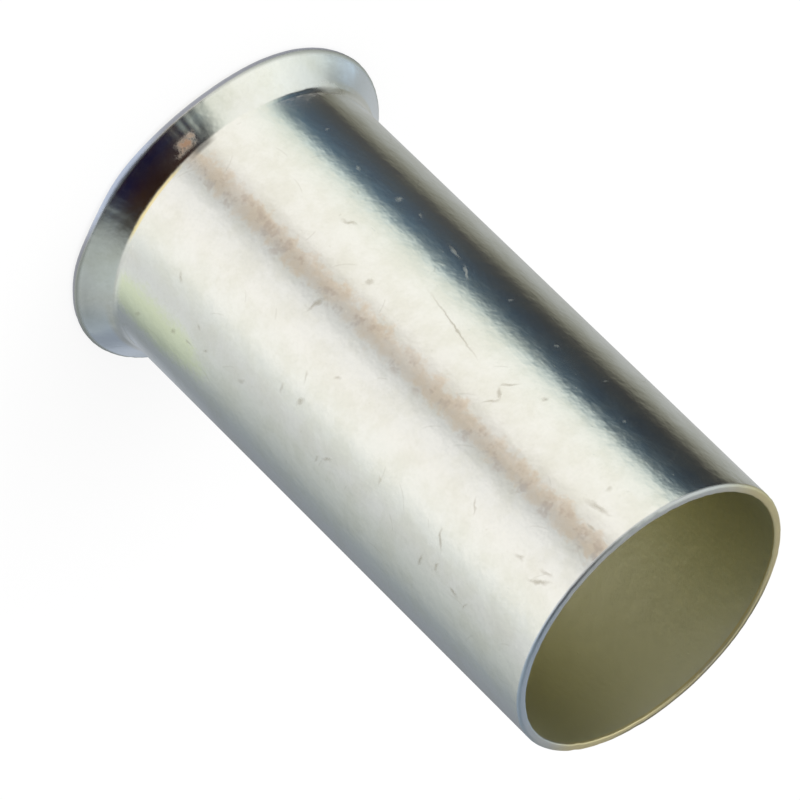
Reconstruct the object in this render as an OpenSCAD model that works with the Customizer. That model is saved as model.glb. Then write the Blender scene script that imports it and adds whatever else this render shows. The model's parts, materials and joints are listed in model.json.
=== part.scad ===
// Uninsulated wire end ferrule.
// One piece of thin copper tube, tin plated all over. The cut end goes into the terminal,
// and the other end is opened out on a 45 degree cone, so that no strand of the wire
// catches on the way in. The part is a body of revolution: the tube wall is drawn in
// section, as a strip of even thickness that bends once, and is turned about Z.
// It stands on the rim of its flare, with Z along the bore.

/* [Barrel] */
// Bore of the barrel, which the stranded wire fills
bore_d = 10.3; // [5.8:0.1:20]
// Thickness of the tube wall
wall = 0.3; // [0.2:0.01:0.5]
// Overall length, from the mouth of the flare to the cut end
length = 22.3; // [12:0.1:40]

/* [Flare] */
// How far the rim of the flare stands out past the barrel, on each side
flare_step = 0.95; // [0.7:0.01:1.5]
// Slope of the flare's cone, measured from the barrel's axis
flare_angle = 45; // [35:1:60]
// Radius of the bend in the outer skin, where the barrel turns into the flare
bend_r = 0.4; // [0.1:0.05:0.6]

/* [Edges] */
// Radius that shearing leaves on the outer corner of the cut end
tip_outer_r = 0.1; // [0.04:0.01:0.12]
// Radius on the inner corner of the cut end
tip_inner_r = 0.05; // [0.03:0.01:0.07]
// Roundness of the flare's lip: the radius on its two corners, as a share of the wall
rim_round = 0.45; // [0.1:0.01:0.47]

/* [Hidden] */
$fn = 144;
barrel_r = bore_d / 2 + wall;
rim_r = wall * rim_round;
// The inner skin bends about the same centre as the outer one, a wall further out
bend_inner_r = bend_r + wall;
// Rounding the rim's outer corner draws the rim in by this much, and the cone makes it up
rim_loss = rim_r * (sin(flare_angle) + cos(flare_angle) - 1);
// Straight run of the cone, which carries the outer skin out to the rim
cone_l = (flare_step + rim_loss - bend_r * (1 - cos(flare_angle))) / sin(flare_angle);
// Height of the bend's centre, which puts the lowest point of the rounded rim at zero
bend_z = (bend_inner_r - rim_r) * sin(flare_angle) + (cone_l - rim_r) * cos(flare_angle) + rim_r;
// Reach past a corner or an arc, so that no cut ends flush with a face
past = 0.02;
// Overlap of one length of wall with the next, too small to leave a step, which joins them
lap = 0.0001;

// What a rounding takes off a square corner at the origin whose metal is at +X +Y
module corner_waste(r) {
    difference() {
        translate([-past, -past]) square(r + past);
        translate([r, r]) circle(r);
    }
}

// Straight length of tube wall in section: it runs up from the origin, and the two corners
// of its far end are rounded
module wall_strip(run, left_r, right_r) {
    difference() {
        square([wall, run]);
        translate([0, run]) mirror([0, 1]) corner_waste(left_r);
        translate([wall, run]) rotate(180) corner_waste(right_r);
    }
}

// The bend in section, about its own centre: it starts level with the barrel's foot and
// turns through the cone's slope
module bend_section() {
    reach = bend_inner_r + past;
    intersection() {
        difference() {
            circle(bend_inner_r);
            circle(bend_r);
        }
        polygon([
            [0, 0],
            [-reach, 0],
            [-reach, -reach * tan(flare_angle / 2)],
            [-reach * cos(flare_angle), -reach * sin(flare_angle)]
        ]);
    }
}

// The cone in section, about the bend's centre: a strip of wall that hangs down, turned out
module cone_section() {
    rotate(flare_angle)
        translate([-bend_inner_r, lap])
            mirror([0, 1])
                wall_strip(cone_l + lap, rim_r, rim_r);
}

// The whole wall in section, from the flare's rim to the cut end, at its radius
module tube_section() {
    translate([barrel_r - wall, bend_z - lap])
        wall_strip(length - bend_z + lap, tip_inner_r, tip_outer_r);
    translate([barrel_r + bend_r, bend_z]) {
        bend_section();
        cone_section();
    }
}

module ferrule() {
    color([0.83, 0.82, 0.78])
        rotate_extrude()
            tube_section();
}

ferrule();
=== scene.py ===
import json
import math

import bmesh
import bpy
from mathutils import Matrix, Vector, noise


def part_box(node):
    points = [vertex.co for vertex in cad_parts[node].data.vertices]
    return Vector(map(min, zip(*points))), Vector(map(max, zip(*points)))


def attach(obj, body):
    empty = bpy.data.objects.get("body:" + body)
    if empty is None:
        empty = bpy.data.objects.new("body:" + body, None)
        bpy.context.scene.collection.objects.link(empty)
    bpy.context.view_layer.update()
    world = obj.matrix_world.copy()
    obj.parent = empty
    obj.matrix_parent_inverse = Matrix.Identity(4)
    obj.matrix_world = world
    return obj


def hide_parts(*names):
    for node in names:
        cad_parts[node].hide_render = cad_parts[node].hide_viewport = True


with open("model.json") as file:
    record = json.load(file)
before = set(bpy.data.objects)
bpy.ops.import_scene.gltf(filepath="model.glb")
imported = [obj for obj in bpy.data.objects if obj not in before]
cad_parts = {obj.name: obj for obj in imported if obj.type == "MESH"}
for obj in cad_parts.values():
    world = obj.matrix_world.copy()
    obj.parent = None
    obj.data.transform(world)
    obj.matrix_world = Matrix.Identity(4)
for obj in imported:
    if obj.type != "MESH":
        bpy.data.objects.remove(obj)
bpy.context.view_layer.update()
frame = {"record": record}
mm = 0.001


def mountNamed(name):
    for mount in frame["record"]["mounts"]:
        if mount["name"] == name:
            return mount


def smoothStep(low, high, value):
    t = min(max((value - low) / (high - low), 0.0), 1.0)
    return t * t * (3.0 - 2.0 * t)


def addObject(name, bm):
    mesh = bpy.data.meshes.new(name)
    bm.to_mesh(mesh)
    bm.free()
    thing = bpy.data.objects.new(name, mesh)
    bpy.context.scene.collection.objects.link(thing)
    return thing


def addMaterial(name):
    material = bpy.data.materials.new(name)
    material.use_nodes = True
    material.node_tree.nodes.clear()
    return material, material.node_tree


def addNode(tree, kind, **settings):
    node = tree.nodes.new(kind)
    for key, value in settings.items():
        setattr(node, key, value)
    return node


def plug(tree, value, socket):
    # a number or colour is set on the socket, and anything else is linked to it
    if isinstance(value, (int, float)):
        socket.default_value = value
    elif isinstance(value, (tuple, list)):
        filled = tuple(value)
        if len(socket.default_value) == 4 and len(filled) == 3:
            filled = filled + (1.0,)
        socket.default_value = filled
    else:
        tree.links.new(value, socket)


def calc(tree, operation, *values):
    node = addNode(tree, "ShaderNodeMath", operation=operation)
    for value, socket in zip(values, node.inputs):
        plug(tree, value, socket)
    return node.outputs[0]


def remap(tree, value, fromLow, fromHigh, toLow=0.0, toHigh=1.0, smooth=True):
    node = addNode(tree, "ShaderNodeMapRange", clamp=True)
    node.interpolation_type = "SMOOTHSTEP" if smooth else "LINEAR"
    for number, part in enumerate((value, fromLow, fromHigh, toLow, toHigh)):
        plug(tree, part, node.inputs[number])
    return node.outputs[0]


def within(tree, value, middle, reach, edge):
    # 1 where the value is close to the middle, falling to 0 at the end of its reach
    off = calc(tree, "ABSOLUTE", calc(tree, "SUBTRACT", value, middle))
    return remap(tree, off, reach, reach - edge)


def times(tree, first, *others):
    product = first
    for other in others:
        product = calc(tree, "MULTIPLY", product, other)
    return product


def blendColour(tree, factor, first, second, mode="MIX"):
    node = addNode(tree, "ShaderNodeMix", data_type="RGBA", blend_type=mode)
    plug(tree, factor, node.inputs[0])
    plug(tree, first, node.inputs[6])
    plug(tree, second, node.inputs[7])
    return node.outputs[2]


def noiseAt(tree, vector, scale, detail=2.0, rough=0.55, output="Fac"):
    node = addNode(tree, "ShaderNodeTexNoise", noise_dimensions="3D")
    plug(tree, vector, node.inputs["Vector"])
    plug(tree, scale, node.inputs["Scale"])
    plug(tree, detail, node.inputs["Detail"])
    plug(tree, rough, node.inputs["Roughness"])
    return node.outputs[output]


def stretched(tree, vector, scale):
    node = addNode(tree, "ShaderNodeMapping", vector_type="POINT")
    plug(tree, vector, node.inputs["Vector"])
    plug(tree, scale, node.inputs["Scale"])
    return node.outputs[0]


def newGroup(name, inputs, outputs):
    group = bpy.data.node_groups.new(name, "ShaderNodeTree")
    for title, kind, default in inputs:
        socket = group.interface.new_socket(name=title, in_out="INPUT", socket_type=kind)
        if default is not None:
            socket.default_value = default
    for title, kind in outputs:
        group.interface.new_socket(name=title, in_out="OUTPUT", socket_type=kind)
    return group, group.nodes.new("NodeGroupOutput")


def placeGroup(tree, group, **values):
    node = addNode(tree, "ShaderNodeGroup")
    node.node_tree = group
    for title, value in values.items():
        plug(tree, value, node.inputs[title])
    return node


ferruleForm = dict(
    coneSlope=math.radians(45),
    bendRadius=0.4 * mm,       # outer skin, where the barrel turns into the flare
    lipOuterRound=0.155 * mm,
    lipInnerRound=0.12 * mm,
    lipHeight=0.6 * mm,        # no part of the lip is higher than this
    tipOuterRound=0.1 * mm,    # corners of the cut end
    tipInnerRound=0.05 * mm,
    bendSegments=10,
    lipSegments=8,
    cornerSegments=5,
    ringStep=0.34 * mm,        # spacing of the rings along the wall
    wedges=20,                 # the section is spun through one wedge, then copied round
    wedgeSteps=27,
    tipRagged=0.022 * mm,      # how uneven the sheared cut end is, in waves and in nicks
    tipReach=0.45 * mm,
    tipWaves=3.1,
    tipNicks=17,
    rimRagged=0.014 * mm,      # and the same for the flare's rim
    rimWaves=4.3,
    rimNicks=26,
    outOfRound=0.006 * mm,
    flareBell=0.02 * mm,       # how far the cone hollows towards a trumpet's form
    # where the flare came out short of the die: degrees round, half width, and by how much
    flareShort=[(-14, 44, 0.12 * mm), (34, 22, 0.09 * mm), (4, 88, 0.045 * mm)],
    # creases that run down the flare: degrees round, half width, and depth
    flareCreases=[(-11.2, 1.8, 0.006 * mm), (-7.9, 1.4, 0.008 * mm), (-4.6, 1.3, 0.004 * mm),
                  (28.0, 2.2, 0.004 * mm), (112.0, 2.0, 0.008 * mm), (-151.0, 2.5, 0.008 * mm)],
)


def tubeSizes():
    low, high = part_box("ferrule")
    return dict(
        length=high.z - low.z,
        flareRadius=high.x,
        barrelRadius=mountNamed("barrel")["dims"]["r_mm"] * mm,
        boreRadius=mountNamed("wire_bore")["dims"]["r_mm"] * mm,
    )


def sectionCorners(size, form):
    # sharp corners of the tube wall in section, each with the length its rounding takes
    slope = form["coneSlope"]
    wall = size["barrelRadius"] - size["boreRadius"]
    halfTurn = math.tan(slope / 2)
    outerTurn = form["bendRadius"] * halfTurn
    innerTurn = (form["bendRadius"] + wall) * halfTurn
    lip = form["lipInnerRound"]
    lipLoss = form["lipOuterRound"] * (math.sin(slope) + math.cos(slope) - 1)
    flareStep = size["flareRadius"] - size["barrelRadius"]
    cone = (flareStep + lipLoss - form["bendRadius"] * (1 - math.cos(slope))) / math.sin(slope)
    bendHeight = ((form["bendRadius"] + wall - lip) * math.sin(slope)
                  + (cone - lip) * math.cos(slope) + lip)
    along = Vector((math.sin(slope), 0, -math.cos(slope)))
    outerBend = Vector((size["barrelRadius"], 0, bendHeight - outerTurn))
    innerBend = Vector((size["boreRadius"], 0, bendHeight - innerTurn))
    return [
        (outerBend + along * (outerTurn + cone), form["lipOuterRound"], form["lipSegments"]),
        (outerBend, outerTurn, form["bendSegments"]),
        (Vector((size["barrelRadius"], 0, size["length"])), form["tipOuterRound"],
         form["cornerSegments"]),
        (Vector((size["boreRadius"], 0, size["length"])), form["tipInnerRound"],
         form["cornerSegments"]),
        (innerBend, innerTurn, form["bendSegments"]),
        (innerBend + along * (innerTurn + cone), lip, form["cornerSegments"]),
    ]


def hump(degrees, middle, halfWidth):
    # rises to 1 at the middle and dies away at either side, going the short way round
    off = abs((degrees - middle + 180) % 360 - 180) / halfWidth
    return 0.5 + 0.5 * math.cos(math.pi * off) if off < 1 else 0.0


def shapeFlare(vert, outward, radius, size, form):
    # run goes from 0 at the end of the bend to 1 at the rim
    slope = form["coneSlope"]
    start = size["barrelRadius"] + form["bendRadius"] * (1 - math.cos(slope))
    run = (radius - start) / (size["flareRadius"] - start)
    if run <= 0:
        return
    run = min(run, 1.0)
    degrees = math.degrees(math.atan2(outward.x, -outward.y))
    down = outward * math.sin(slope) - Vector((0, 0, math.cos(slope)))
    up = outward * math.cos(slope) + Vector((0, 0, math.sin(slope)))
    short = sum(depth * hump(degrees, middle, half)
                for middle, half, depth in form["flareShort"])
    crease = sum(depth * hump(degrees, middle, half)
                 for middle, half, depth in form["flareCreases"])
    vert.co -= down * short * run
    vert.co -= up * (4 * run * (1 - run) * form["flareBell"] + crease * smoothStep(0, 0.3, run))
    wave = noise.noise(outward * form["rimWaves"] + Vector((0, 0, 5.5)))
    nick = noise.noise(outward * form["rimNicks"] + Vector((1.3, 0, 0)))
    vert.co -= outward * smoothStep(0.4, 1.0, run) * form["rimRagged"] * abs(wave + 0.6 * nick)


def shapeCutEnd(vert, outward, size, form):
    near = smoothStep(size["length"] - form["tipReach"], size["length"], vert.co.z)
    if near > 0:
        wave = noise.noise(outward * form["tipWaves"] + Vector((3.7, 0, 0)))
        nick = noise.noise(outward * form["tipNicks"] + Vector((0, 9.2, 0)))
        vert.co.z -= near * form["tipRagged"] * abs(wave + 0.5 * nick)
        vert.co += outward * near * form["tipRagged"] * 0.6 * nick


def roughenTube(bm, size, form):
    # the shear leaves the cut end uneven, and the flaring die leaves the flare so. Nothing
    # goes below the plane that the rim stands on
    for vert in bm.verts:
        radius = math.hypot(vert.co.x, vert.co.y)
        outward = Vector((vert.co.x / radius, vert.co.y / radius, 0))
        oval = noise.noise(outward * 0.9 + Vector((0, 0, vert.co.z * 60)))
        shapeFlare(vert, outward, radius, size, form)
        shapeCutEnd(vert, outward, size, form)
        vert.co += outward * (oval - 0.5) * form["outOfRound"]
        vert.co.z = max(vert.co.z, 0.0)


def makeFerruleShell(size, form):
    bm = bmesh.new()
    corners = [(bm.verts.new(place), length, segments)
               for place, length, segments in sectionCorners(size, form)]
    bm.faces.new([corner[0] for corner in corners])
    for corner, length, segments in corners:
        bmesh.ops.bevel(bm, geom=[corner], offset=length, offset_type="OFFSET",
                        segments=segments, profile=0.5, affect="VERTICES",
                        clamp_overlap=False, material=-1)
    for edge in list(bm.edges):
        cuts = int(edge.calc_length() / form["ringStep"])
        if cuts > 0:
            bmesh.ops.subdivide_edges(bm, edges=[edge], cuts=cuts)
    bmesh.ops.delete(bm, geom=list(bm.faces), context="FACES_ONLY")
    wedge = math.tau / form["wedges"]
    bmesh.ops.spin(bm, geom=bm.verts[:] + bm.edges[:], cent=(0, 0, 0), axis=(0, 0, 1),
                   angle=wedge, steps=form["wedgeSteps"])
    bmesh.ops.spin(bm, geom=bm.verts[:] + bm.edges[:] + bm.faces[:], cent=(0, 0, 0),
                   axis=(0, 0, 1), angle=math.tau - wedge, steps=form["wedges"] - 1,
                   use_duplicate=True)
    bmesh.ops.remove_doubles(bm, verts=bm.verts[:], dist=0.0005 * mm)
    bmesh.ops.recalc_face_normals(bm, faces=bm.faces[:])
    roughenTube(bm, size, form)
    for face in bm.faces:
        face.smooth = True
    return addObject("ferrule_shell", bm)


def markSkins(shell, form):
    # innerSkin is 1 on the bore and the mouth of the flare, 0 on the outer skin, and blended
    # across the rims. lipTurn is 1 where the flare's lip has turned level or down, and carries
    # the lip's painted shade
    inner = shell.data.attributes.new("innerSkin", "FLOAT", "POINT")
    turned = shell.data.attributes.new("lipTurn", "FLOAT", "POINT")
    for number, vert in enumerate(shell.data.vertices):
        radius = math.hypot(vert.co.x, vert.co.y)
        facing = (vert.normal.x * vert.co.x + vert.normal.y * vert.co.y) / radius
        inner.data[number].value = smoothStep(0.35, -0.35, facing)
        if vert.co.z < form["lipHeight"]:
            turned.data[number].value = smoothStep(0.5, 0.1, vert.normal.z)


size = tubeSizes()
mmPerDegree = math.pi / 180 * size["barrelRadius"] / mm
shell = makeFerruleShell(size, ferruleForm)
markSkins(shell, ferruleForm)
print("ferrule shell:", len(shell.data.polygons), "faces")


def makePlaceOnTube():
    # where a point is on the tube: degrees round from the front, millimetres up and out, the
    # skin rolled out flat, and its place in space
    group, end = newGroup(
        "placeOnTube", [],
        [("Angle", "NodeSocketFloat"), ("Height", "NodeSocketFloat"),
         ("Radius", "NodeSocketFloat"), ("Flat", "NodeSocketVector"),
         ("Space", "NodeSocketVector")])
    coords = addNode(group, "ShaderNodeTexCoord")
    space = stretched(group, coords.outputs["Object"], (1 / mm, 1 / mm, 1 / mm))
    split = addNode(group, "ShaderNodeSeparateXYZ")
    plug(group, space, split.inputs[0])
    x, y, z = split.outputs
    turn = calc(group, "ARCTAN2", x, calc(group, "MULTIPLY", y, -1))
    angle = calc(group, "DEGREES", turn)
    square = calc(group, "ADD", calc(group, "MULTIPLY", x, x), calc(group, "MULTIPLY", y, y))
    flat = addNode(group, "ShaderNodeCombineXYZ")
    plug(group, calc(group, "MULTIPLY", angle, mmPerDegree), flat.inputs[0])
    plug(group, z, flat.inputs[1])
    plug(group, angle, end.inputs["Angle"])
    plug(group, z, end.inputs["Height"])
    plug(group, calc(group, "SQRT", square), end.inputs["Radius"])
    plug(group, flat.outputs[0], end.inputs["Flat"])
    plug(group, space, end.inputs["Space"])
    return group


def makeSatinGrain():
    # fine pebbling and pits of the tin, with faint draw lines along the tube
    group, end = newGroup(
        "satinGrain",
        [("Space", "NodeSocketVector", None), ("Grain Size", "NodeSocketFloat", 0.14)],
        [("Height", "NodeSocketFloat"), ("Cloud", "NodeSocketFloat"),
         ("Speck", "NodeSocketFloat")])
    start = addNode(group, "NodeGroupInput")
    space = start.outputs["Space"]
    perMm = calc(group, "DIVIDE", 1.0, start.outputs["Grain Size"])
    speck = noiseAt(group, space, perMm, detail=1.5, rough=0.6)
    pits = remap(group, speck, 0.7, 0.82, 0.0, -0.8)
    drawn = noiseAt(group, stretched(group, space, (4.5, 4.5, 0.5)), 1.0, detail=1)
    waves = noiseAt(group, space, 2.1, detail=2)
    height = calc(group, "ADD", calc(group, "MULTIPLY", speck, 0.25),
                  calc(group, "MULTIPLY", drawn, 0.5))
    height = calc(group, "ADD", height, calc(group, "MULTIPLY", waves, 3.0))
    plug(group, calc(group, "ADD", height, pits), end.inputs["Height"])
    plug(group, noiseAt(group, space, 0.8, detail=4, rough=0.62), end.inputs["Cloud"])
    plug(group, speck, end.inputs["Speck"])
    return group


def makeFineScratches():
    # short hairline scratches, one in some of the cells of a Voronoi pattern, each its own way
    group, end = newGroup(
        "fineScratches",
        [("Flat", "NodeSocketVector", None), ("Cell Size", "NodeSocketFloat", 1.2),
         ("Share", "NodeSocketFloat", 0.5), ("Width", "NodeSocketFloat", 0.02)],
        [("Mask", "NodeSocketFloat")])
    start = addNode(group, "NodeGroupInput")
    cells = addNode(group, "ShaderNodeTexVoronoi", voronoi_dimensions="2D", feature="F1")
    scaled = addNode(group, "ShaderNodeVectorMath", operation="SCALE")
    plug(group, start.outputs["Flat"], scaled.inputs[0])
    plug(group, calc(group, "DIVIDE", 1.0, start.outputs["Cell Size"]), scaled.inputs["Scale"])
    plug(group, scaled.outputs[0], cells.inputs["Vector"])
    plug(group, 1.0, cells.inputs["Scale"])
    local = addNode(group, "ShaderNodeVectorMath", operation="SUBTRACT")
    plug(group, scaled.outputs[0], local.inputs[0])
    plug(group, cells.outputs["Position"], local.inputs[1])
    chance = addNode(group, "ShaderNodeSeparateColor")
    plug(group, cells.outputs["Color"], chance.inputs[0])
    turned = addNode(group, "ShaderNodeVectorRotate", rotation_type="Z_AXIS")
    plug(group, local.outputs[0], turned.inputs["Vector"])
    plug(group, calc(group, "MULTIPLY", chance.outputs[1], math.pi), turned.inputs["Angle"])
    split = addNode(group, "ShaderNodeSeparateXYZ")
    plug(group, turned.outputs[0], split.inputs[0])
    along, across = split.outputs[0], split.outputs[1]
    bow = calc(group, "MULTIPLY", calc(group, "MULTIPLY", along, along), 0.5)
    off = calc(group, "ABSOLUTE", calc(group, "SUBTRACT", across, bow))
    half = calc(group, "DIVIDE", start.outputs["Width"], start.outputs["Cell Size"])
    thin = remap(group, off, half, calc(group, "MULTIPLY", half, 0.4))
    reach = calc(group, "MULTIPLY", chance.outputs[2], 0.4)
    ends = remap(group, calc(group, "ABSOLUTE", along), reach,
                 calc(group, "MULTIPLY", reach, 0.6))
    chosen = calc(group, "LESS_THAN", chance.outputs[0], start.outputs["Share"])
    plug(group, times(group, thin, ends, chosen), end.inputs["Mask"])
    return group


placeOnTube = makePlaceOnTube()
satinGrain = makeSatinGrain()
fineScratches = makeFineScratches()
print("node groups:", len(bpy.data.node_groups))


tinLook = dict(
    bright=(0.92, 0.902, 0.84),
    creamy=(0.87, 0.85, 0.765),
    roughness=0.17,
    bumpMm=0.004,
    # the copper line: copper showing through the tin, and in part a painted reflection
    copper=(0.83, 0.67, 0.50),
    copperShare=0.62,
    copperAround=(-3.9, 5.4, 3.6),     # degrees: its middle, its reach and its soft end
    copperDrift=13.0,                  # degrees that the line wanders
    speck=(0.60, 0.48, 0.40),
    speckShare=0.5,
    speckAround=(-2.6, 6.0, 4.0),
    bareCopper=(0.46, 0.29, 0.19),
    bareAround=(-4.4, 5.4, 4.6),
    bareHeight=(0.88, 0.22, 0.19),     # millimetres up: middle, reach and soft end
    bareMetallic=0.45,
    stain=(0.86, 0.90, 0.56),
    stainShare=0.62,
    stainMiddle=(55.5, 3.1),           # degrees round and millimetres up
    stainReach=(11.0, 3.1),
    # on the bend: warm where the die rubbed it, and a painted dark reflection at the front, by
    # the copper line
    bendTintAndShade=[
        dict(colour=(0.92, 0.76, 0.36), share=0.8,
             around=(18, 19, 8), height=(1.2, 0.09, 0.07)),
        # a painted dark reflection at the front of the bend
        dict(colour=(0.10, 0.09, 0.08), share=0.66,
             around=(-8, 6.5, 5), height=(1.22, 0.18, 0.16)),
    ],
    coolTin=(0.90, 0.94, 0.98),        # the flare's two sides
    coolFrom=(60, 84),                 # fades in from the first to the second, in degrees
    coolRadius=(5.6, 5.75),            # and in millimetres
    # the lip's colours are painted shade, grey and bluer in part
    lipShadeGrey=(0.62, 0.62, 0.57),
    lipShadeBlue=(0.58, 0.65, 0.79),
    lipShadeBlueAround=(19, 24, 14),
    lipRadius=(6.24, 6.36),
    lipWiden=0.03,
    lipWideAround=(0, 52, 30),
    lipUndersideShade=(0.36, 0.37, 0.41),        # painted shade, darker where it has turned level or down
    lipUndersideShadeBlueShare=0.85,
    lipRoughness=0.58,
    smudge=(0.38, 0.33, 0.24),
    smudgeShare=0.58,
    markRoughness=0.5,
    markShake=0.26,                    # millimetres that their edges are shaken by
    hairlineShare=0.1,
    hairlines={"Cell Size": 1.3, "Share": 0.4, "Width": 0.035},
    boreOlive=(0.74, 0.715, 0.50),
    # painted light: the bore's far wall is painted lighter and greyer
    boreLitGrey=(0.86, 0.85, 0.75),
    boreLitGreyFrom=(112, 168),
    boreRoughness=0.42,
    cutEdge=(0.67, 0.68, 0.67),
    # a painted bluish reflection on one side of the cut end
    cutBlueReflection=(0.57, 0.65, 0.75),
    cutBlueReflectionAround=(52, 50, 35),
    # olive-gold, partly worn plating and partly a painted highlight
    cutOliveAndHighlight=(0.80, 0.70, 0.42),
    cutOliveAndHighlightAround=[(-125, 75, 35), (148, 50, 22)],
    cutFarShade=(0.30, 0.28, 0.18),         # painted shade on the outer half of the far side
    cutFarShadeFrom=(130, 152),
    cutFarShadeRadius=(5.24, 5.33),
    cutRoughness=0.46,
)

# dirt and dents rubbed into the tin: angle, height, length, width, tilt, strength
handlingMarks = [
    (-25.3, 6.9, 0.62, 0.2, -57, 0.7),
    (-14.7, 9.2, 0.36, 0.28, 0, 0.5),
    (3, 8.45, 0.9, 0.2, -12, 0.8),
    (-24.7, 12.4, 3.4, 0.12, 80, 0.75),
    (-23.4, 15.35, 0.85, 0.13, -36, 0.65),
    (-18.4, 15.4, 0.6, 0.14, 50, 0.65),
    (-14.6, 15.45, 0.65, 0.14, -40, 0.6),
    (-28.7, 16.5, 0.32, 0.22, 0, 0.55),
    (-14.2, 20.9, 1.2, 0.28, -78, 0.65),
    (-21.5, 20.6, 0.34, 0.18, 0, 0.4),
    (-8, 21.3, 0.5, 0.14, 90, 0.45),
    (16.2, 20.1, 0.5, 0.22, -80, 0.5),
    (17.5, 21.2, 0.95, 0.2, -60, 0.8),
    (13.8, 21.2, 0.7, 0.2, -75, 0.5),
    (14.5, 17.7, 0.7, 0.13, 30, 0.5),
    (16.2, 10.8, 0.46, 0.18, -50, 0.5),
    (24, 9.8, 0.6, 0.14, 20, 0.42),
    (31.9, 10.1, 0.46, 0.22, -20, 0.65),
    (33.5, 9.2, 0.5, 0.17, 20, 0.42),
    (41.5, 12.0, 0.6, 0.19, -55, 0.62),
    (45, 11.6, 0.4, 0.14, -20, 0.42),
    (32.5, 14.2, 0.42, 0.2, 20, 0.42),
    (32, 17.3, 0.85, 0.17, 32, 0.78),
    (44.5, 16.9, 0.56, 0.16, -15, 0.68),
    (41.5, 17.6, 0.42, 0.18, -20, 0.62),
    (44.3, 18.6, 0.52, 0.21, 75, 0.72),
    (45, 19.2, 0.5, 0.14, -25, 0.5),
    (50.3, 4.2, 0.42, 0.2, -50, 0.6),
    (48.8, 4.95, 0.46, 0.17, 90, 0.5),
    (46, 5.8, 0.36, 0.18, -50, 0.5),
    (40.3, 5.2, 0.32, 0.18, 60, 0.45),
    (30.6, 3.7, 0.46, 0.18, 50, 0.5),
    (58, 2.4, 0.5, 0.2, -45, 0.45),
    (44, 7.6, 0.5, 0.17, -40, 0.42),
    (104, 6.5, 0.5, 0.16, 35, 0.6),
    (128, 15.2, 1.3, 0.12, -70, 0.6),
    (161, 9.8, 0.45, 0.2, 10, 0.6),
    (-109, 12.1, 0.6, 0.16, -25, 0.55),
    (-137, 18.4, 0.5, 0.2, 60, 0.6),
    (-166, 4.9, 0.9, 0.13, 15, 0.5),
]

# nicks and rubs that roughen the skin and catch the light
brightNicks = [
    (-47.5, 3.1, 0.32, 0.17, 20, 0.6),
    (-47.5, 6.9, 0.5, 0.24, 15, 0.6),
    (-49.2, 7.85, 0.46, 0.18, 60, 0.65),
    (-47.6, 9.75, 0.95, 0.19, 78, 0.7),
    (-44.4, 10.7, 0.95, 0.17, 58, 0.7),
    (-50, 12.4, 0.26, 0.16, 10, 0.6),
    (-49, 14.8, 0.26, 0.16, -20, 0.6),
    (-54, 16.8, 0.26, 0.13, 10, 0.5),
    (-44.5, 5.1, 0.4, 0.17, 75, 0.5),
    (-46, 18.6, 0.26, 0.14, 60, 0.45),
    (-67, 1.18, 1.8, 0.5, 0, 0.95),
    (96, 10.2, 0.6, 0.1, 62, 0.6),
    (-118, 7.4, 0.5, 0.1, -40, 0.6),
]


def nearestMark(tree, flat, marks):
    # each mark is an oval measured in its own turned and stretched frame, and a weak one
    # stands a little off the skin, so that it fades
    nearest = None
    for atAngle, atHeight, length, width, tilt, strength in marks:
        local = addNode(tree, "ShaderNodeMapping", vector_type="TEXTURE")
        plug(tree, flat, local.inputs["Vector"])
        plug(tree, (atAngle * mmPerDegree, atHeight, 1 - strength), local.inputs["Location"])
        plug(tree, (0, 0, math.radians(tilt)), local.inputs["Rotation"])
        plug(tree, (length / 2, width / 2, 1), local.inputs["Scale"])
        reach = addNode(tree, "ShaderNodeVectorMath", operation="LENGTH")
        plug(tree, local.outputs[0], reach.inputs[0])
        away = reach.outputs["Value"]
        nearest = away if nearest is None else calc(tree, "MINIMUM", nearest, away)
    return remap(tree, nearest, 1.2, 0.0)


def tinBase(tree, look, cloud, speck):
    # tin, from bright to creamy in soft clouds, with a light speckle
    colour = blendColour(tree, remap(tree, cloud, 0.38, 0.66), look["bright"], look["creamy"])
    dim = remap(tree, speck, 0.3, 0.62, 0.98, 1.0)
    grey = blendColour(tree, dim, (0, 0, 0), (1, 1, 1))
    return blendColour(tree, 1.0, colour, grey, "MULTIPLY")


def addCopperLineAndReflection(tree, colour, look, place, cloud, speck, outer):
    # copper shows through the thin tin in one draw line down the front, and in part this line
    # and its dots are a painted reflection of what stands in front of the tube
    angle, height = place.outputs["Angle"], place.outputs["Height"]
    thinned = noiseAt(tree, place.outputs["Space"], 2.3, detail=3, rough=0.6)
    drift = calc(tree, "MULTIPLY", calc(tree, "SUBTRACT", thinned, 0.5), look["copperDrift"])
    line = calc(tree, "ADD", angle, drift)
    patchy = remap(tree, cloud, 0.3, 0.6, 0.5, 1.0)
    streak = times(tree, within(tree, line, *look["copperAround"]), patchy, outer,
                   look["copperShare"])
    colour = blendColour(tree, streak, colour, look["copper"])
    dots = times(tree, remap(tree, thinned, 0.5, 0.68),
                 within(tree, angle, *look["speckAround"]), outer, look["speckShare"])
    colour = blendColour(tree, dots, colour, look["speck"])
    # and it is bare on one rub at the top of the flare
    bare = times(tree, within(tree, line, *look["bareAround"]),
                 within(tree, height, *look["bareHeight"]), remap(tree, speck, 0.2, 0.55), outer)
    return blendColour(tree, bare, colour, look["bareCopper"]), bare


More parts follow.
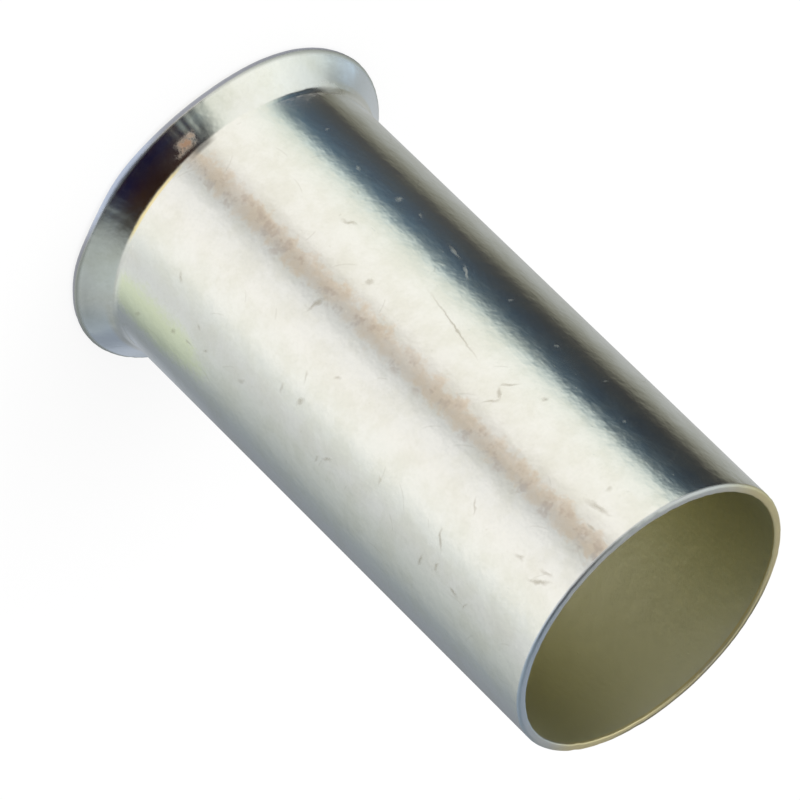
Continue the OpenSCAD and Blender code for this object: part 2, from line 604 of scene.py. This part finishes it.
def addStain(tree, colour, look, place, cloud, speck, outer):
    # yellow-green flux stain by the flare, an oval with a ragged edge
    squares = []
    for output, middle, reach in zip(("Angle", "Height"), look["stainMiddle"],
                                     look["stainReach"]):
        off = calc(tree, "SUBTRACT", place.outputs[output], middle)
        off = calc(tree, "DIVIDE", off, reach)
        squares.append(calc(tree, "MULTIPLY", off, off))
    spread = calc(tree, "SQRT", calc(tree, "ADD", *squares))
    coarse = calc(tree, "MULTIPLY", calc(tree, "SUBTRACT", cloud, 0.5), 1.1)
    fine = calc(tree, "MULTIPLY", calc(tree, "SUBTRACT", speck, 0.5), 0.5)
    spread = calc(tree, "ADD", spread, calc(tree, "ADD", coarse, fine))
    onBarrel = remap(tree, place.outputs["Height"], 1.15, 1.5)
    mask = times(tree, remap(tree, spread, 1.12, 0.55), onBarrel, outer, look["stainShare"])
    return blendColour(tree, mask, colour, look["stain"])


def addFlareTintsAndShade(tree, colour, look, place, outer):
    # the bend's warm tint and its painted dark reflection, the cooler sides of the flare, and
    # the lip's painted shade
    angle, height = place.outputs["Angle"], place.outputs["Height"]
    radius = place.outputs["Radius"]
    for tint in look["bendTintAndShade"]:
        mask = times(tree, within(tree, height, *tint["height"]),
                     within(tree, angle, *tint["around"]), outer, tint["share"])
        colour = blendColour(tree, mask, colour, tint["colour"])
    side = times(tree, remap(tree, calc(tree, "ABSOLUTE", angle), *look["coolFrom"]),
                 remap(tree, radius, *look["coolRadius"]), outer)
    colour = blendColour(tree, side, colour, look["coolTin"])
    # painted shade on the lip, a little wider in front, and bluer for a part of that
    blue = within(tree, angle, *look["lipShadeBlueAround"])
    front = within(tree, angle, *look["lipWideAround"])
    wide = calc(tree, "ADD", radius, calc(tree, "MULTIPLY", front, look["lipWiden"]))
    lip = times(tree, remap(tree, wide, *look["lipRadius"]), outer)
    lipShade = blendColour(tree, blue, look["lipShadeGrey"], look["lipShadeBlue"])
    colour = blendColour(tree, lip, colour, lipShade)
    # darker painted shade where the lip has turned level or down
    turned = addNode(tree, "ShaderNodeAttribute", attribute_name="lipTurn").outputs["Fac"]
    edge = times(tree, turned, outer)
    lipUndersideShadeTone = blendColour(tree, times(tree, blue, look["lipUndersideShadeBlueShare"]), look["lipUndersideShade"],
                          look["lipShadeBlue"])
    return blendColour(tree, edge, colour, lipUndersideShadeTone), lip


def raggedPlace(tree, look, place):
    # the rolled out skin, shaken by noise so that what is drawn on it gets ragged edges
    shake = addNode(tree, "ShaderNodeVectorMath", operation="MULTIPLY_ADD")
    shakes = noiseAt(tree, place.outputs["Space"], 3.2, detail=2, output="Color")
    plug(tree, shakes, shake.inputs[0])
    far = look["markShake"]
    plug(tree, (far, far, 0.0), shake.inputs[1])
    plug(tree, (-far / 2, -far / 2, 0.0), shake.inputs[2])
    shaken = addNode(tree, "ShaderNodeVectorMath", operation="ADD")
    plug(tree, place.outputs["Flat"], shaken.inputs[0])
    plug(tree, shake.outputs[0], shaken.inputs[1])
    return shaken.outputs[0]


def addBore(tree, colour, look, place, inner):
    # the bore is duller and olive, with painted light that makes its far wall lighter and
    # greyer. The sheared edge is bare metal, with a painted bluish reflection, olive-gold that
    # is partly worn plating and partly a painted highlight, and painted shade on the outer half
    # of the far side
    angle, height = place.outputs["Angle"], place.outputs["Height"]
    round180 = calc(tree, "ABSOLUTE", angle)
    grey = remap(tree, round180, *look["boreLitGreyFrom"])
    bore = blendColour(tree, grey, look["boreOlive"], look["boreLitGrey"])
    colour = blendColour(tree, inner, colour, bore)
    lengthMm = size["length"] / mm
    cut = remap(tree, height, lengthMm - 0.15, lengthMm - 0.08)
    # a painted bluish reflection on one side, and olive-gold that is partly worn plating and
    # partly a painted highlight
    coolReflection = within(tree, angle, *look["cutBlueReflectionAround"])
    edge = blendColour(tree, coolReflection, look["cutEdge"], look["cutBlueReflection"])
    warmAndHighlight = [within(tree, angle, *part) for part in look["cutOliveAndHighlightAround"]]
    edge = blendColour(tree, calc(tree, "MAXIMUM", *warmAndHighlight), edge, look["cutOliveAndHighlight"])
    # painted shade on the outer half of the far side of the cut end
    far = times(tree, remap(tree, round180, *look["cutFarShadeFrom"]),
                remap(tree, place.outputs["Radius"], *look["cutFarShadeRadius"]))
    edge = blendColour(tree, far, edge, look["cutFarShade"])
    return blendColour(tree, cut, colour, edge), cut


def makeTinPlate(look):
    material, tree = addMaterial("tin_plate")
    place = placeGroup(tree, placeOnTube)
    inner = addNode(tree, "ShaderNodeAttribute", attribute_name="innerSkin").outputs["Fac"]
    outer = calc(tree, "SUBTRACT", 1.0, inner)
    grain = placeGroup(tree, satinGrain, Space=place.outputs["Space"])
    cloud, speck = grain.outputs["Cloud"], grain.outputs["Speck"]

    colour = tinBase(tree, look, cloud, speck)
    colour, bare = addCopperLineAndReflection(tree, colour, look, place, cloud, speck, outer)
    colour = addStain(tree, colour, look, place, cloud, speck, outer)
    colour, lip = addFlareTintsAndShade(tree, colour, look, place, outer)
    ragged = raggedPlace(tree, look, place)
    marks = times(tree, nearestMark(tree, ragged, handlingMarks), outer)
    nicks = times(tree, nearestMark(tree, ragged, brightNicks), outer)
    colour = blendColour(tree, times(tree, marks, look["smudgeShare"]), colour, look["smudge"])
    hairs = placeGroup(tree, fineScratches, Flat=place.outputs["Flat"], **look["hairlines"])
    hairline = hairs.outputs["Mask"]
    colour = blendColour(tree, times(tree, hairline, look["hairlineShare"]), colour,
                         look["smudge"])
    colour, cut = addBore(tree, colour, look, place, inner)

    rough = remap(tree, cloud, 0.35, 0.65, look["roughness"] - 0.02, look["roughness"] + 0.04)
    rough = calc(tree, "ADD", rough, calc(tree, "MULTIPLY", hairline, 0.05))
    dulled = calc(tree, "MAXIMUM", calc(tree, "MULTIPLY", marks, 0.5), nicks)
    dulled = calc(tree, "MAXIMUM", dulled, bare)
    for mask, finish in ((dulled, "markRoughness"), (lip, "lipRoughness"),
                         (inner, "boreRoughness"), (cut, "cutRoughness")):
        rough = remap(tree, mask, 0.0, 1.0, rough, look[finish], smooth=False)

    # the die smoothed the flare, so the grain is fainter there
    bump = addNode(tree, "ShaderNodeBump")
    plug(tree, remap(tree, place.outputs["Height"], 0.9, 1.4, 0.5, 1.0), bump.inputs["Strength"])
    plug(tree, look["bumpMm"] * mm, bump.inputs["Distance"])
    plug(tree, grain.outputs["Height"], bump.inputs["Height"])

    metallic = remap(tree, bare, 0.0, 1.0, 1.0, look["bareMetallic"], smooth=False)
    shader = addNode(tree, "ShaderNodeBsdfPrincipled")
    plug(tree, colour, shader.inputs["Base Color"])
    plug(tree, metallic, shader.inputs["Metallic"])
    plug(tree, rough, shader.inputs["Roughness"])
    plug(tree, bump.outputs[0], shader.inputs["Normal"])
    output = addNode(tree, "ShaderNodeOutputMaterial")
    plug(tree, shader.outputs[0], output.inputs["Surface"])
    return material


shell.data.materials.append(makeTinPlate(tinLook))
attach(shell, "root")
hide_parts("ferrule")
print("tin plate on", shell.name)


cameraForm = dict(
    lens=397.5,                # on a 36 mm sensor
    elevation=math.radians(29.33),
    roll=math.radians(134.47),
    distance=0.28816,
    aim=(0.62 * mm, 0, 10.09 * mm),
)


def makeCamera(form):
    data = bpy.data.cameras.new("camera")
    data.lens = form["lens"]
    data.sensor_width = 36
    data.clip_start = 0.01
    data.clip_end = 10
    camera = bpy.data.objects.new("camera", data)
    back = Vector((0, -math.cos(form["elevation"]), math.sin(form["elevation"])))
    level = Matrix.Rotation(math.pi / 2 - form["elevation"], 4, "X")
    roll = Matrix.Rotation(form["roll"], 4, "Z")
    place = Vector(form["aim"]) + back * form["distance"]
    camera.matrix_world = Matrix.Translation(place) @ level @ roll
    bpy.context.scene.collection.objects.link(camera)
    bpy.context.scene.camera = camera


makeCamera(cameraForm)
bpy.context.scene.view_settings.view_transform = "Standard"
print("camera placed")


stageForm = dict(
    floorSize=2.0,
    floorWhite=(0.93, 0.93, 0.93),
    plainWhite=(1.0, 1.0, 1.0),
    selfLit=0.8,               # share of plain white in the floor that the camera sees
    cardColumns=360,
    cardRows=28,
    # distances of the card's rows from the barrel: it starts past the flare's lip
    cardRowsAt=[2.1 * mm, 5 * mm, 8 * mm, 11 * mm, 15 * mm, 22 * mm, 38 * mm, 0.13, 0.131],
    cardLift=0.02 * mm,
    cardTurnUp=0.012,
    domeReach=0.22,
    domeSpread=116,            # degrees of the flare's skin to either side
    domeTilts=(10, 78),        # degrees up that the skin faces, from and to
    backTone=(0.32, 0.325, 0.33),
    backWidth=0.2,
    backLean=math.radians(60),
    backPlace=(0, 0.17, 0.12),
    worldLight=0.95,
)

# what the skin of the barrel mirrors, by degrees round from the front
barrelTones = [
    (-90, (0.50, 0.51, 0.51)),
    (-80, (0.47, 0.49, 0.49)),
    (-71, (0.38, 0.40, 0.39)),
    (-65, (0.24, 0.245, 0.21)),
    (-61, (0.12, 0.12, 0.10)),
    (-58.5, (0.043, 0.043, 0.042)),
    (-53, (0.032, 0.038, 0.044)),
    (-47, (0.029, 0.042, 0.059)),
    (-42, (0.05, 0.08, 0.11)),
    (-39.5, (0.15, 0.20, 0.23)),
    (-37, (0.50, 0.59, 0.60)),
    (-34, (0.80, 0.86, 0.83)),
    (-30, (0.93, 0.96, 0.93)),
    (-24, (0.99, 1.0, 0.98)),
    (-13, (0.97, 0.97, 0.95)),
    (-8, (0.77, 0.76, 0.74)),
    (-2, (0.57, 0.58, 0.58)),
    (2, (0.65, 0.67, 0.68)),
    (7, (0.90, 0.91, 0.92)),
    (16, (0.98, 0.98, 0.97)),
    (27, (0.96, 0.98, 0.97)),
    (33, (0.77, 0.81, 0.81)),
    (41, (0.64, 0.67, 0.69)),
    (49, (0.52, 0.56, 0.56)),
    (57, (0.41, 0.45, 0.46)),
    (65, (0.29, 0.33, 0.36)),
    (74, (0.26, 0.29, 0.33)),
    (83, (0.25, 0.27, 0.30)),
    (90, (0.23, 0.25, 0.27)),
]

# light that falls on the card near the tube: degrees round, half width, how much it adds,
# and how far out it has died away
nearGlows = [(-49, 17, 1.3, 30 * mm), (52, 15, 0.36, 15 * mm), (84, 14, 0.75, 13 * mm)]

# what the flare mirrors, by degrees round: next to the barrel, then next to the lip
flareTones = [
    (-116, (0.44, 0.51, 0.58), (0.44, 0.51, 0.58)),
    (-90, (0.425, 0.54, 0.65), (0.43, 0.53, 0.62)),
    (-80, (0.425, 0.49, 0.55), (0.60, 0.71, 0.77)),
    (-72, (0.28, 0.31, 0.31), (0.70, 0.80, 0.85)),
    (-67, (0.38, 0.41, 0.41), (0.70, 0.80, 0.82)),
    (-63, (0.66, 0.73, 0.76), (0.72, 0.80, 0.80)),
    (-55, (0.78, 0.84, 0.86), (0.80, 0.87, 0.86)),
    (-42, (0.95, 1.0, 1.0), (0.98, 1.02, 0.99)),
    (-28, (0.95, 0.97, 0.97), (0.94, 0.97, 0.93)),
    (-19, (0.86, 0.90, 0.86), (0.76, 0.79, 0.72)),
    (-15.5, (0.62, 0.67, 0.63), (0.56, 0.62, 0.58)),
    (-14, (0.05, 0.06, 0.07), (0.20, 0.25, 0.26)),
    (-9, (0.05, 0.055, 0.065), (0.22, 0.26, 0.27)),
    (-5, (0.05, 0.035, 0.04), (0.04, 0.05, 0.08)),
    (0, (0.036, 0.018, 0.012), (0.006, 0.008, 0.04)),
    (10, (0.020, 0.009, 0.005), (0.0, 0.001, 0.026)),
    (21, (0.034, 0.016, 0.006), (0.0, 0.003, 0.04)),
    (26, (0.030, 0.022, 0.016), (0.03, 0.04, 0.08)),
    (30, (0.05, 0.05, 0.045), (0.25, 0.30, 0.33)),
    (35, (0.26, 0.29, 0.29), (0.33, 0.37, 0.38)),
    (42, (0.44, 0.49, 0.49), (0.38, 0.43, 0.43)),
    (52, (0.48, 0.55, 0.57), (0.39, 0.43, 0.45)),
    (64, (0.42, 0.46, 0.47), (0.29, 0.32, 0.33)),
    (75, (0.32, 0.36, 0.38), (0.23, 0.26, 0.27)),
    (90, (0.62, 0.68, 0.71), (0.44, 0.48, 0.50)),
    (116, (0.56, 0.62, 0.66), (0.50, 0.55, 0.58)),
]

# above what the cone mirrors, where only the rounding of the cut end looks
overheadTone = (0.12, 0.13, 0.16)


def seenDirectly(tree, byCamera):
    # how much plain white each kind of sight line gets
    path = addNode(tree, "ShaderNodeLightPath")
    seen = calc(tree, "MULTIPLY", path.outputs["Is Camera Ray"], byCamera)
    seen = calc(tree, "MAXIMUM", seen, path.outputs["Is Glossy Ray"])
    return calc(tree, "MAXIMUM", seen, path.outputs["Is Transmission Ray"])


def makeFloor(form):
    bm = bmesh.new()
    bmesh.ops.create_grid(bm, x_segments=1, y_segments=1, size=form["floorSize"] / 2)
    floor = addObject("floor", bm)
    material, tree = addMaterial("floor_white")
    lit = addNode(tree, "ShaderNodeBsdfDiffuse")
    plug(tree, form["floorWhite"], lit.inputs["Color"])
    plain = addNode(tree, "ShaderNodeEmission")
    plug(tree, form["plainWhite"], plain.inputs["Color"])
    mix = addNode(tree, "ShaderNodeMixShader")
    plug(tree, seenDirectly(tree, form["selfLit"]), mix.inputs[0])
    plug(tree, lit.outputs[0], mix.inputs[1])
    plug(tree, plain.outputs[0], mix.inputs[2])
    output = addNode(tree, "ShaderNodeOutputMaterial")
    plug(tree, mix.outputs[0], output.inputs["Surface"])
    floor.data.materials.append(material)


def tonesAt(tones, angle):
    # the colours at an angle, straight between the two entries next to it
    angle = min(max(angle, tones[0][0]), tones[-1][0])
    for low, high in zip(tones, tones[1:]):
        if angle <= high[0]:
            share = (angle - low[0]) / (high[0] - low[0])
            return [Vector(a).lerp(Vector(b), share) for a, b in zip(low[1:], high[1:])]


def addTones(bm, toneOf):
    layer = bm.verts.layers.float_color.new("tone")
    for vert in bm.verts:
        vert[layer] = tuple(toneOf(vert.co)) + (1.0,)


def mirrored(skin, tilt, elevation):
    # the way a line of sight leaves a skin that faces round by skin and up by tilt
    sight = Vector((0, math.cos(elevation), -math.sin(elevation)))
    facing = Vector((math.cos(tilt) * math.sin(skin), -math.cos(tilt) * math.cos(skin),
                     math.sin(tilt)))
    return sight.reflect(facing)


def finishCard(card):
    # it glows in its own tones, and only reflections see it
    material, tree = addMaterial(card.name + "_tones")
    tone = addNode(tree, "ShaderNodeAttribute", attribute_name="tone")
    glow = addNode(tree, "ShaderNodeEmission")
    plug(tree, tone.outputs["Color"], glow.inputs["Color"])
    output = addNode(tree, "ShaderNodeOutputMaterial")
    plug(tree, glow.outputs[0], output.inputs["Surface"])
    card.data.materials.append(material)
    card.visible_camera = False
    card.visible_diffuse = False
    card.visible_shadow = False
    card.visible_transmission = False


def barrelTone(skin, distance):
    tone = tonesAt(barrelTones, skin)[0]
    for middle, halfWidth, extra, reach in nearGlows:
        near = 1 - smoothStep(0.35 * reach, reach, distance)
        tone = tone * (1 + extra * near * hump(skin, middle, halfWidth))
    return tone


def makeBarrelCard(form):
    # lies on the floor round the tube and turns up at its far edge. Each tone's edge is the
    # straight line that an upright line of the barrel mirrors, so the tones run up the barrel
    bm = bmesh.new()
    rows = form["cardRowsAt"]
    last = len(rows) - 1
    bmesh.ops.create_grid(bm, x_segments=form["cardColumns"], y_segments=last, size=1.0)

    def distanceOf(co):
        return rows[round((co.y + 1) / 2 * last)]

    addTones(bm, lambda co: barrelTone(co.x * 90, distanceOf(co)))
    for vert in bm.verts:
        skin = vert.co.x * math.pi / 2
        distance = distanceOf(vert.co)
        start = Vector((math.sin(skin), -math.cos(skin), 0)) * size["barrelRadius"]
        away = Vector((math.sin(2 * skin), -math.cos(2 * skin), 0))
        lift = form["cardTurnUp"] if distance == rows[-1] else form["cardLift"]
        vert.co = start + away * distance + Vector((0, 0, lift))
    finishCard(addObject("barrel_card", bm))


def flareTone(skin, tilt):
    # the barrel's tones go on up the bend, and give way to the flare's where it ends: early
    # at the far side, apart from a peak where the barrel is dark
    root, lip = tonesAt(flareTones, skin)
    tone = root.lerp(lip, smoothStep(41.5, 46, tilt))
    bendEnd = 25
    if skin < -30:
        bendEnd = max(min(22 - 1.2 * (skin + 50), 32 + 4 * (skin + 58)), 8)
    under = tonesAt(barrelTones, skin)[0]
    tone = under.lerp(tone, smoothStep(bendEnd - 4, bendEnd + 3, tilt))
    above = Vector(overheadTone) * smoothStep(51, 57, tilt)
    return Vector([max(pair) for pair in zip(tone, above)])


def makeFlareDome(form, elevation):
    # a screen far out, laid along what the flare mirrors, so that it holds the flare's tones
    bm = bmesh.new()
    bmesh.ops.create_grid(bm, x_segments=form["cardColumns"], y_segments=form["cardRows"],
                          size=1.0)
    low, high = form["domeTilts"]

    def skinAndTilt(co):
        return co.x * form["domeSpread"], low + (high - low) * (co.y + 1) / 2

    addTones(bm, lambda co: flareTone(*skinAndTilt(co)))
    for vert in bm.verts:
        skin, tilt = (math.radians(part) for part in skinAndTilt(vert.co))
        start = Vector((math.sin(skin), -math.cos(skin), 0)) * size["flareRadius"]
        vert.co = start + mirrored(skin, tilt, elevation) * form["domeReach"]
    finishCard(addObject("flare_dome", bm))


def makeBackCard(form):
    # stands behind the tube, where the flat of the cut end mirrors it
    bm = bmesh.new()
    bmesh.ops.create_grid(bm, x_segments=1, y_segments=1, size=form["backWidth"] / 2)
    addTones(bm, lambda co: form["backTone"])
    bmesh.ops.rotate(bm, verts=bm.verts, matrix=Matrix.Rotation(form["backLean"], 3, "X"))
    bmesh.ops.translate(bm, verts=bm.verts, vec=form["backPlace"])
    finishCard(addObject("back_card", bm))


def makeWorld(form):
    world = bpy.data.worlds.new("studio")
    bpy.context.scene.world = world
    world.use_nodes = True
    tree = world.node_tree
    tree.nodes.clear()
    level = remap(tree, seenDirectly(tree, 1.0), 0.0, 1.0, form["worldLight"], 1.0,
                  smooth=False)
    background = addNode(tree, "ShaderNodeBackground")
    plug(tree, form["plainWhite"], background.inputs["Color"])
    plug(tree, level, background.inputs["Strength"])
    output = addNode(tree, "ShaderNodeOutputWorld")
    plug(tree, background.outputs[0], output.inputs["Surface"])


softLight = dict(place=(-0.25, -0.2, 0.55), width=0.5, watts=1.5)


def makeSoftLight(light):
    data = bpy.data.lights.new("soft_light", "AREA")
    data.shape = "SQUARE"
    data.size = light["width"]
    data.energy = light["watts"]
    lamp = bpy.data.objects.new("soft_light", data)
    lamp.location = light["place"]
    lamp.rotation_euler = (-Vector(light["place"])).to_track_quat("-Z", "Y").to_euler()
    lamp.visible_glossy = False
    bpy.context.scene.collection.objects.link(lamp)


makeFloor(stageForm)
makeBarrelCard(stageForm)
makeFlareDome(stageForm, cameraForm["elevation"])
makeBackCard(stageForm)
makeWorld(stageForm)
makeSoftLight(softLight)
print("stage set")
